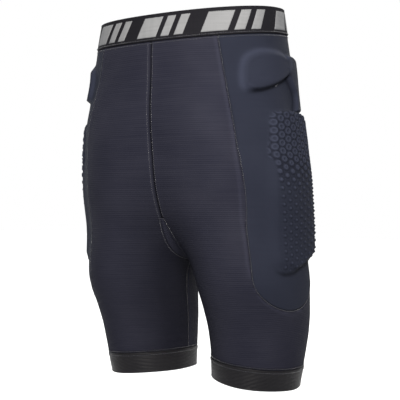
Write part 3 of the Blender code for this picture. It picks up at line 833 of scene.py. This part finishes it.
def make_front_panels(down):
    size, u, v = grid(109, down)
    base = panel(True, u, v)
    angle = leg_angle(base)
    height = base[:, 2]
    centre = np.where(v < TIP_AT, base[:, 0], 1.0)
    seam = np.where(height > TONGUE_SHOULDER, cloth_across(seam_angle(height) - angle), 1.0)
    behind = angle > seam_angle(TONGUE_SHOULDER)
    tongue = np.where(behind, tongue_height(angle) - height, 1.0)
    near = np.minimum(np.abs(seam), np.abs(tongue))
    lift = edge_fall(centre, 0.0010, 0.0016) + 0.0005 * bump(centre - 0.0042, 0.0020)
    lift += 0.0007 * bump(near - 0.0031, 0.0018) - 0.0005 * bump(near, 0.0012)
    lift += wrinkles(base, 0.00030)
    # Painted highlight on the ridge beside the side seam, painted shade in the centre seam and along the
    # side seam
    painted_shading = 0.50 * bump(near - 0.0034, 0.0020) - 0.6 * bump(centre, 0.0010) - 0.4 * bump(near, 0.0011)
    # Painted highlight beside the centre seam
    painted_shading += 0.20 * bump(centre - 0.0040, 0.0016)
    # Painted highlight over the front of the upper leg
    painted_shading += 0.15 * bump(angle - 22, 16) * share(height, -0.24, -0.16)
    # Painted shade on the inner thigh, between the legs
    painted_shading -= 0.55 * share(angle, -5, -50) * share(height, -0.19, -0.27)
    uv = cloth_uv(base, angle)
    for (word, side), cutter in zip(SIDES, make_opening_cutters()):
        made = solid(f"front_cloth_{word}", size, base, lift - CLOTH, lift, side, uv=uv, painted_shading=painted_shading)
        cut = made.modifiers.new("opening", "BOOLEAN")
        cut.operation = "DIFFERENCE"
        cut.solver = "EXACT"
        cut.object = cutter
        apply_modifiers(made)
        bpy.data.objects.remove(cutter)
        dress(made, KNIT, "knit", f"front_panel_{word}")


def make_back_panels(down):
    size, u, v = grid(49, down)
    base = panel(False, u, v)
    angle = np.mod(leg_angle(base), 360)
    centre = np.where(v < TIP_AT, base[:, 0], 1.0)
    side_seam = cloth_across(angle - BACK_SEAM)
    lift = edge_fall(np.minimum(centre, side_seam), 0.0008, 0.0016) + wrinkles(base, 0.00035)
    # Painted shade in the centre seam
    painted_shading = -0.6 * bump(centre, 0.0010)
    uv = cloth_uv(base, angle)
    for word, side in SIDES:
        made = solid(f"back_cloth_{word}", size, base, lift - CLOTH, lift, side, uv=uv, painted_shading=painted_shading)
        dress(made, KNIT, "knit", f"back_panel_{word}")


def make_panels():
    down = uneven((0.0, TIP_AT, CORNER_AT, 1.0), (56, 30, 34))
    make_front_panels(down)
    make_back_panels(down)
    make_seam_tapes()


def seam_tape(name, path, side=1):
    """Tape inside a seam that runs downwards, which closes the gap between its two pieces."""
    size, u, v = grid(5, len(path))
    sideways = np.cross(normal(path), np.gradient(path, axis=0))
    sideways /= np.linalg.norm(sideways, axis=1)[:, None]
    shift = (u - 0.5) * TAPE_WIDTH
    middle, sideways = (np.repeat(line, size[1], axis=0) for line in (path, sideways))
    base = settle(middle + shift[:, None] * sideways)
    length = float(np.linalg.norm(np.diff(path, axis=0), axis=1).sum())
    uv = np.stack([shift, v * length], axis=-1)
    made = solid(name, size, base, TAPE_LIFT - TAPE_THICK, TAPE_LIFT, side, uv=uv, painted_shading=0 * u)
    dress(made, KNIT, "knit")


def make_seam_tapes():
    seam_tape("seam_tape_front", centre_line(True))
    seam_tape("seam_tape_back", centre_line(False))
    rows = np.linspace(0, 1, 60)
    for word, side in SIDES:
        seam_tape(f"seam_tape_rear_{word}", panel(True, 0 * rows + 1, rows), side)
        seam_tape(f"seam_tape_cover_{word}", on_leg(*cover_chart(0 * rows, 0.96 * rows)), side)


def make_gusset():
    size, u, v = grid(13, 61)
    base = gusset_point(2 * u - 1, 2 * v - 1)
    made = solid("gusset_cloth", size, base, -CLOTH, 0.0, uv=base[:, :2], painted_shading=0 * u)
    dress(made, KNIT, "knit", "crotch_gusset")


def evaluated(made):
    return made.evaluated_get(bpy.context.evaluated_depsgraph_get())


def apply_modifiers(made):
    baked = bpy.data.meshes.new_from_object(evaluated(made))
    made.modifiers.clear()
    made.data = baked
    made.data.shade_smooth()


# ---- bands


def waist_heights(angle, drop):
    """Height of the torso at this drop below the rim's plane."""
    return on_plane(on_torso, angle, waist_plane, drop)


BAND_RIBS = 60
RIB_HEIGHT = 0.00012


def band_ribs(turns):
    """Fine upright ribs of the woven elastic. turns runs from 0 to 1 round the waist."""
    return RIB_HEIGHT * np.sin(2 * np.pi * BAND_RIBS * turns)


def make_waistband():
    size, u, v = grid(np.linspace(0, 1, 240, endpoint=False), uneven((0.0, 0.08, 0.92, 1.0), (4, 20, 4)))
    top = waist_heights(360 * u, GAP)
    low = waist_heights(360 * u, BAND_HEIGHT) + GAP
    base = on_torso(360 * u, top + (low - top) * v)
    rim = np.minimum(v, 1 - v) * BAND_HEIGHT
    lift = BAND_LIFT + 0.00035 * bump(rim - 0.0012, 0.0008) - 0.0006 * bump(rim, 0.0005)
    lift += band_ribs(u) * ease(rim / 0.003)
    uv = cloth_uv(base, 360 * u, WAIST_ARC)
    made = solid("waistband_elastic", size, base, lift - BAND_THICK, lift, ring=True, uv=uv)
    dress(made, BAND, "elastic", "waistband")
    return made


# Start, width and slant of each woven bar of a group, in degrees
MOTIF_GROUP = ((0.0, 15.0, 2.5), (18.5, 6.0, 2.5), (28.0, 6.0, 2.5))
MOTIF_GROUPS = 8
MOTIF_START = -9.0
MOTIF_MARGIN = 0.0052  # from the bars to the band's edges


def make_motifs(band):
    """Plain slanted bars woven into the band."""
    for group in range(MOTIF_GROUPS):
        for number, (start, width, slant) in enumerate(MOTIF_GROUP):
            size, u, v = grid(max(6, int(width * 2)), 16)
            angle = 360 / MOTIF_GROUPS * group + start + MOTIF_START + width * u - slant * (v - 0.5) * 2
            top = waist_heights(angle, MOTIF_MARGIN)
            low = waist_heights(angle, BAND_HEIGHT - MOTIF_MARGIN)
            base = on_torso(angle, top + (low - top) * v)
            uv = cloth_uv(base, angle, WAIST_ARC)
            rim = np.minimum(np.minimum(u, 1 - u) * width * 0.002, np.minimum(v, 1 - v) * 0.024)
            lift = 0.00062 + 0.00022 * ease(rim / 0.0008) + band_ribs(angle / 360)
            made = solid(f"band_bar_{group + 1}_{number + 1}", size, base, lift - BAR_THICK, lift, uv=uv)
            dress(made, MOTIF, "elastic")


def hem_ring(top, low, rows):
    """A ring between two levels of a hem: its size, v, angles and places."""
    size, u, v = grid(np.linspace(0, 1, 180, endpoint=False), rows)
    angle = 360 * u - 90
    high = on_plane(on_leg, angle, hem_plane, top)
    deep = on_plane(on_leg, angle, hem_plane, low)
    return size, v, angle, on_leg(angle, high + (deep - high) * v)


HEM_RIB_PITCH = 0.0018
# Silicone strip inside each hem: its two edges above the hem's, and its thickness
GRIPPER_TOP = 0.018
GRIPPER_LOW = 0.006
GRIPPER_THICK = 0.0008


def make_hems():
    tall = HEM_TOP - HEM_BOTTOM
    size, v, angle, base = hem_ring(HEM_TOP - GAP, HEM_BOTTOM, 61)
    fall = v * tall
    rim = np.minimum(fall, tall - fall)
    lift = HEM_LIFT + 0.00010 * np.sin(2 * np.pi * fall / HEM_RIB_PITCH) * ease(rim / 0.002)
    lift += 0.0003 * bump(rim - 0.0016, 0.0012) - 0.0007 * bump(rim, 0.0007)
    lift += 0.0005 * np.sin(5 * np.radians(angle) + 0.7) * v**2
    uv = cloth_uv(base, angle)
    strip_size, across, _, strip = hem_ring(HEM_BOTTOM + GRIPPER_TOP, HEM_BOTTOM + GRIPPER_LOW, 13)
    outer = HEM_LIFT - HEM_THICK - GAP
    inner = outer - GRIPPER_THICK + 0.0003 * np.abs(np.sin(np.pi * 3 * across))
    for word, side in SIDES:
        hem = solid(f"hem_cloth_{word}", size, base, lift - HEM_THICK, lift, side, ring=True, uv=uv)
        dress(hem, HEM, "hem", f"hem_band_{word}")
        made = solid(f"gripper_print_{word}", strip_size, strip, inner, outer, side, ring=True)
        dress(made, SILICONE, "silicone", f"hem_gripper_{word}")


# ---- stitching

STITCH_PITCH = 0.0026
STITCH_RADIUS = 0.00030
STITCH_FILL = 0.40  # half a stitch's length, as a share of the pitch
ROW_OFFSET = 0.0034  # from a centre seam to the stitches beside it
BAND_ROWS = 0.0022  # and from the band's lower edge


def stitches(name, node, path, lift, side=1, shift=0.0, closed=False):
    """Short rounded stitches laid end to end along a line on the form.

    Each has two tips and three rings of five points. shift moves the row sideways, and node
    is the CAD node that it replaces, if any.
    """
    if closed:
        path = np.concatenate([path, path[:1]])
    run = np.append(0, np.cumsum(np.linalg.norm(np.diff(path, axis=0), axis=1)))
    count = max(2, int(run[-1] / STITCH_PITCH))
    middle = (np.arange(count) + 0.5) * run[-1] / count

    def at(distance):
        return np.stack([np.interp(distance, run, path[:, k]) for k in range(3)], axis=-1)

    along = at(middle + 0.0005) - at(middle - 0.0005)
    along /= np.linalg.norm(along, axis=1, keepdims=True)
    place = at(middle)
    across = np.cross(normal(place), along)
    place = settle(place + across * shift)
    up = normal(place)
    half = STITCH_FILL * run[-1] / count
    sunk = up * (lift - 0.6 * STITCH_RADIUS)
    points = [place - along * half + sunk]
    for end in (-0.7, 0.0, 0.7):
        for turn in np.radians(np.arange(5) * 72):
            rise = up * (lift + STITCH_RADIUS * np.sin(turn))
            spread = across * (STITCH_RADIUS * 1.2 * np.cos(turn))
            points.append(place + along * (end * half) + rise + spread)
    points.append(place + along * half + sunk)
    faces = []
    for k in range(5):
        n = (k + 1) % 5
        faces.append((0, 1 + k, 1 + n))
        faces += [(ring + k, ring + 5 + k, ring + 5 + n, ring + n) for ring in (1, 6)]
        faces.append((11 + k, 16, 11 + n))
    cloud = np.stack(points, axis=1).reshape(-1, 3) * np.array([side, 1, 1])
    starts = range(0, len(cloud), len(points))
    every = [[start + corner for corner in face[::side]] for start in starts for face in faces]
    dress(mesh_object(name, cloud, every), THREAD, "thread", *([node] if node else []))


def stitch_middle():
    for word, front in (("front", True), ("back", False)):
        name = f"centre_{word}"
        path = centre_line(front, clear=0.002)
        stitches(f"{name}_stitch_a", f"{name}_seam", path, 0.0004, shift=ROW_OFFSET)
        stitches(f"{name}_stitch_b", None, path, 0.0004, shift=-ROW_OFFSET)
    turn = np.linspace(0, 360, 160, endpoint=False)
    on_band = on_torso(turn, waist_heights(turn, BAND_HEIGHT - BAND_ROWS))
    under_band = on_torso(turn, waist_heights(turn, BAND_HEIGHT + BAND_ROWS))
    stitches("waist_stitch_a", "waist_seam", on_band, 0.0012, closed=True)
    stitches("waist_stitch_b", None, under_band, 0.0003, closed=True)
    along = np.linspace(-1, 1, 60)
    left = gusset_point(1 + 0 * along, along, 0.0025)
    loop = np.concatenate([left, left[::-1] * np.array([-1, 1, 1])])
    stitches("gusset_stitch", "gusset_seam", loop, 0.0002, closed=True)


def stitch_sides():
    rows = np.linspace(0.01, 0.99, 90)
    back_seam = panel(True, 0 * rows + 1, rows)
    rows = np.linspace(CORNER_AT + 0.02, 0.99, 40)
    inseam = panel(True, 0 * rows, rows)
    down = np.linspace(0.005, 1, 120)
    over = np.linspace(0, 0.985, 80)[1:]
    cover = on_leg(*cover_chart(np.append(0 * down, over), np.append(down, 0 * over + 1)))
    turn = np.linspace(-90, 270, 140, endpoint=False)
    on_hem = on_leg(turn, on_plane(on_leg, turn, hem_plane, HEM_TOP - 0.0035))
    above_hem = on_leg(turn, on_plane(on_leg, turn, hem_plane, HEM_TOP + 0.0018))
    for word, side in SIDES:
        for name, node, *run in (
            ("back_seam_stitch", "back_seam_", back_seam, 0.0003, side, -0.0030),
            ("inseam_stitch", "inseam_", inseam, 0.0002, side, 0.0025),
            ("cover_stitch", "cover_seam_", cover, 0.0004, side),
            ("hem_stitch_a", "hem_seam_", on_hem, 0.0011, side, 0.0, True),
            ("hem_stitch_b", None, above_hem, 0.0004, side, 0.0, True),
        ):
            stitches(f"{name}_{word}", node and node + word, *run)


# ---- pads and linings

# Pads as in the CAD: angle, height, half their angle, half their height, roundness and lean
PADS = (
    ("hip_pad_front", (66.0, -0.0845, 21.5, 0.0250, 0.75, 0.0), 0.0050),
    ("hip_pad_rear", (110.5, -0.0950, 16.5, 0.0345, 0.80, 0.0), 0.0052),
    ("thigh_pad", (91.0, -0.2320, 37.5, 0.0935, 0.60, 8.0), 0.0088),
)
TAILBONE = (180.0, -0.1200, 20.0, 0.0590, 0.70, 0.0)
TAIL_POCKET = (180.0, -0.1200, 26.0, 0.0680, 0.30, 0.0)
PAD_INNER = -0.0013  # the foam's inner face
PAD_CLEAR = 0.0012  # from the foam to the cloth over it
PAD_RIM = 0.10  # the chamfer's share of a pad's width
PAD_SIZE, PAD_U, PAD_V = grid(33, 45)
THINNEST = 0.0015
TAIL_THICK = 0.0074
TAIL_NET_LIFT = -0.0112
VOXEL = 0.0024
SWELL_PRESSURE = 1.5
SWELL_STEPS = 8
SWELL_CAP = 0.0003  # how far a point may move


def chart_pad(pad):
    """Angles and heights of a pad's grid, between a rectangle and an oval."""
    angle, height, half_angle, half_height, roundness, lean = pad
    x = 2 * PAD_U - 1
    y = 1 - 2 * PAD_V
    wide = x * ((1 - roundness) + roundness * np.sqrt(1 - y**2 / 2))
    tall = y * ((1 - roundness) + roundness * np.sqrt(1 - x**2 / 2))
    return angle + half_angle * wide + lean * tall, height + half_height * tall


def pad_rim():
    """0 at a pad's edge, 1 past its chamfer."""
    across = np.minimum(PAD_U, 1 - PAD_U)
    return ease(np.minimum(across, np.minimum(PAD_V, 1 - PAD_V)) / PAD_RIM)


def swell(made):
    """Let a foam pad fill out: a remesh, then a short cloth run with inner pressure, capped."""
    voxel = made.modifiers.new("voxels", "REMESH")
    voxel.mode = "VOXEL"
    voxel.voxel_size = VOXEL
    apply_modifiers(made)
    before = np.array([v.co for v in made.data.vertices])
    cloth = made.modifiers.new("cloth", "CLOTH")
    cloth.settings.use_pressure = True
    cloth.settings.uniform_pressure_force = SWELL_PRESSURE
    cloth.settings.effector_weights.gravity = 0
    cloth.settings.quality = 4
    cloth.point_cache.frame_start = 1
    cloth.point_cache.frame_end = SWELL_STEPS
    for step in range(1, SWELL_STEPS + 1):
        bpy.context.scene.frame_set(step)
    after = np.array([v.co for v in evaluated(made).data.vertices])
    made.modifiers.clear()
    bpy.context.scene.frame_set(1)
    moved = after - before
    size = np.linalg.norm(moved, axis=1, keepdims=True)
    moved *= np.minimum(1, SWELL_CAP / np.maximum(size, 1e-9))
    made.data.vertices.foreach_set("co", (before + moved).ravel())
    made.data.update()


def make_pad(name, node, base, low, high, side=1):
    made = solid(name, PAD_SIZE, base, low, high, side)
    swell(made)
    dress(made, FOAM, "foam", node)


def make_net(name, node, size, base, angle, outer, side=1):
    made = solid(name, size, base, outer - NET_THICK, outer, side, uv=cloth_uv(base, angle))
    return dress(made, NET, "net", node)


def make_side_pads():
    for name, pad, lift in PADS:
        angle, height = chart_pad(pad)
        base = on_leg(angle, height)
        roof = relief(angle, height)[0] - CLOTH - PAD_CLEAR
        full = lift - CLOTH - PAD_CLEAR - PAD_INNER
        high = np.minimum(PAD_INNER + full * (0.35 + 0.65 * pad_rim()), roof)
        high = np.maximum(high, PAD_INNER + THINNEST)
        for word, side in SIDES:
            make_pad(f"{name}_foam_{word}", f"{name}_{word}", base, PAD_INNER, high, side)
    size, u, v = grid(45, 70)
    angle, height = cover_chart(u, v, inset=0.0015)
    base = on_leg(angle, height)
    for word, side in SIDES:
        made = make_net(f"pad_net_{word}", f"pad_lining_{word}", size, base, angle, NET_LIFT, side)


def make_tailbone_pad():
    low = -CLOTH - 0.0018 - TAIL_THICK
    high = low + 0.0072 * (0.4 + 0.6 * pad_rim())
    base = on_torso(*chart_pad(TAILBONE))
    make_pad("tailbone_foam", "tailbone_pad", base, low, high)
    angle, height = chart_pad(TAIL_POCKET)
    base = on_torso(angle, height)
    made = make_net("tailbone_net", "tailbone_lining", PAD_SIZE, base, angle, TAIL_NET_LIFT)


LABEL_ANGLE = 172.0
LABEL_TURN = 16.0
LABEL_DROP = 0.008
LABEL_HEIGHT = 0.020
LABEL_LIFT = -0.0015
LABEL_THICK = 0.0004


def make_label():
    """A blank label inside the back of the band, with a curled lower edge."""
    size, u, v = grid(13, 13)
    angle = LABEL_ANGLE + LABEL_TURN * u
    base = on_torso(angle, waist_heights(angle, LABEL_DROP) - LABEL_HEIGHT * v)
    outer = LABEL_LIFT - 0.0005 * ease((v - 0.6) / 0.4)
    made = solid("care_tab", size, base, outer - LABEL_THICK, outer)
    dress(made, LABEL, "label", "care_label")


# ---- stage

# The camera's turn from the front towards +X. Its line of sight passes the axis at CAMERA_SHIFT.
VIEW_TURN = math.radians(29.7)
CAMERA_REACH = 1.03
CAMERA_SHIFT = 0.012
CAMERA_HEIGHT = -0.2405
FLOOR_HALF = 6.0
FLOOR_DROP = 0.12  # from the hems


def make_stage():
    mesh = bpy.data.meshes.new("floor")
    corners = [(x * FLOOR_HALF, y * FLOOR_HALF, 0) for x, y in ((-1, -1), (1, -1), (1, 1), (-1, 1))]
    mesh.from_pydata(corners, [], [(0, 1, 2, 3)])
    floor = add_object("floor", mesh)
    floor.location = (0, 0, CAD_BOX[0][2] - FLOOR_DROP)
    nodes = Nodes("pale_floor", (0.95, 0.95, 0.95), 0.9)
    nodes.drive("Emission Color", (1, 1, 1, 1))
    nodes.drive("Emission Strength", 0.20)
    mesh.materials.append(nodes.made)
    world = bpy.data.worlds.new("studio")
    bpy.context.scene.world = world
    world.use_nodes = True
    background = world.node_tree.nodes["Background"]
    background.inputs["Color"].default_value = (1, 1, 1, 1)
    background.inputs["Strength"].default_value = 1.0
    bpy.context.scene.view_settings.view_transform = "Standard"


def add_light(name, place, target, size, power, colour=(1, 1, 1), spread=180):
    """A soft area light, turned from its place towards a target. spread is in degrees."""
    data = bpy.data.lights.new(name, "AREA")
    data.shape = "RECTANGLE"
    data.size, data.size_y = size
    data.energy = power
    data.color = colour
    data.spread = math.radians(spread)
    lamp = add_object(name, data)
    lamp.location = place
    aim = np.array(target) - np.array(place)
    flat = math.hypot(aim[0], aim[1])
    lamp.rotation_euler = (math.atan2(flat, -aim[2]), 0, math.atan2(-aim[0], aim[1]))


def make_lights():
    warm = (1.0, 0.97, 0.90)
    add_light("key", (0.62, -1.04, 0.30), (0.07, -0.06, -0.17), (0.45, 0.45), 5.6, warm, 50)
    add_light("rim", (-1.5, 0.5, 0.1), (0, 0, -0.15), (0.6, 1.2), 6.0, (0.90, 0.94, 1.0))
    add_light("back", (0.2, 1.8, 0.9), (0, 0, -0.15), (1.4, 1.2), 16.0)


def make_camera():
    data = bpy.data.cameras.new("camera")
    data.lens = 70.0
    data.sensor_width = 36.0
    data.clip_start = 0.01
    camera = add_object("camera", data)
    camera.location = (
        CAMERA_REACH * math.sin(VIEW_TURN) + CAMERA_SHIFT * math.cos(VIEW_TURN),
        -CAMERA_REACH * math.cos(VIEW_TURN) + CAMERA_SHIFT * math.sin(VIEW_TURN),
        CAMERA_HEIGHT,
    )
    camera.rotation_euler = (math.radians(90), 0, VIEW_TURN)
    bpy.context.scene.camera = camera


make_camera()
make_stage()
make_lights()
make_panels()
make_gusset()
make_side_covers()
make_motifs(make_waistband())
make_hems()
make_side_pads()
make_tailbone_pad()
make_label()
stitch_middle()
stitch_sides()
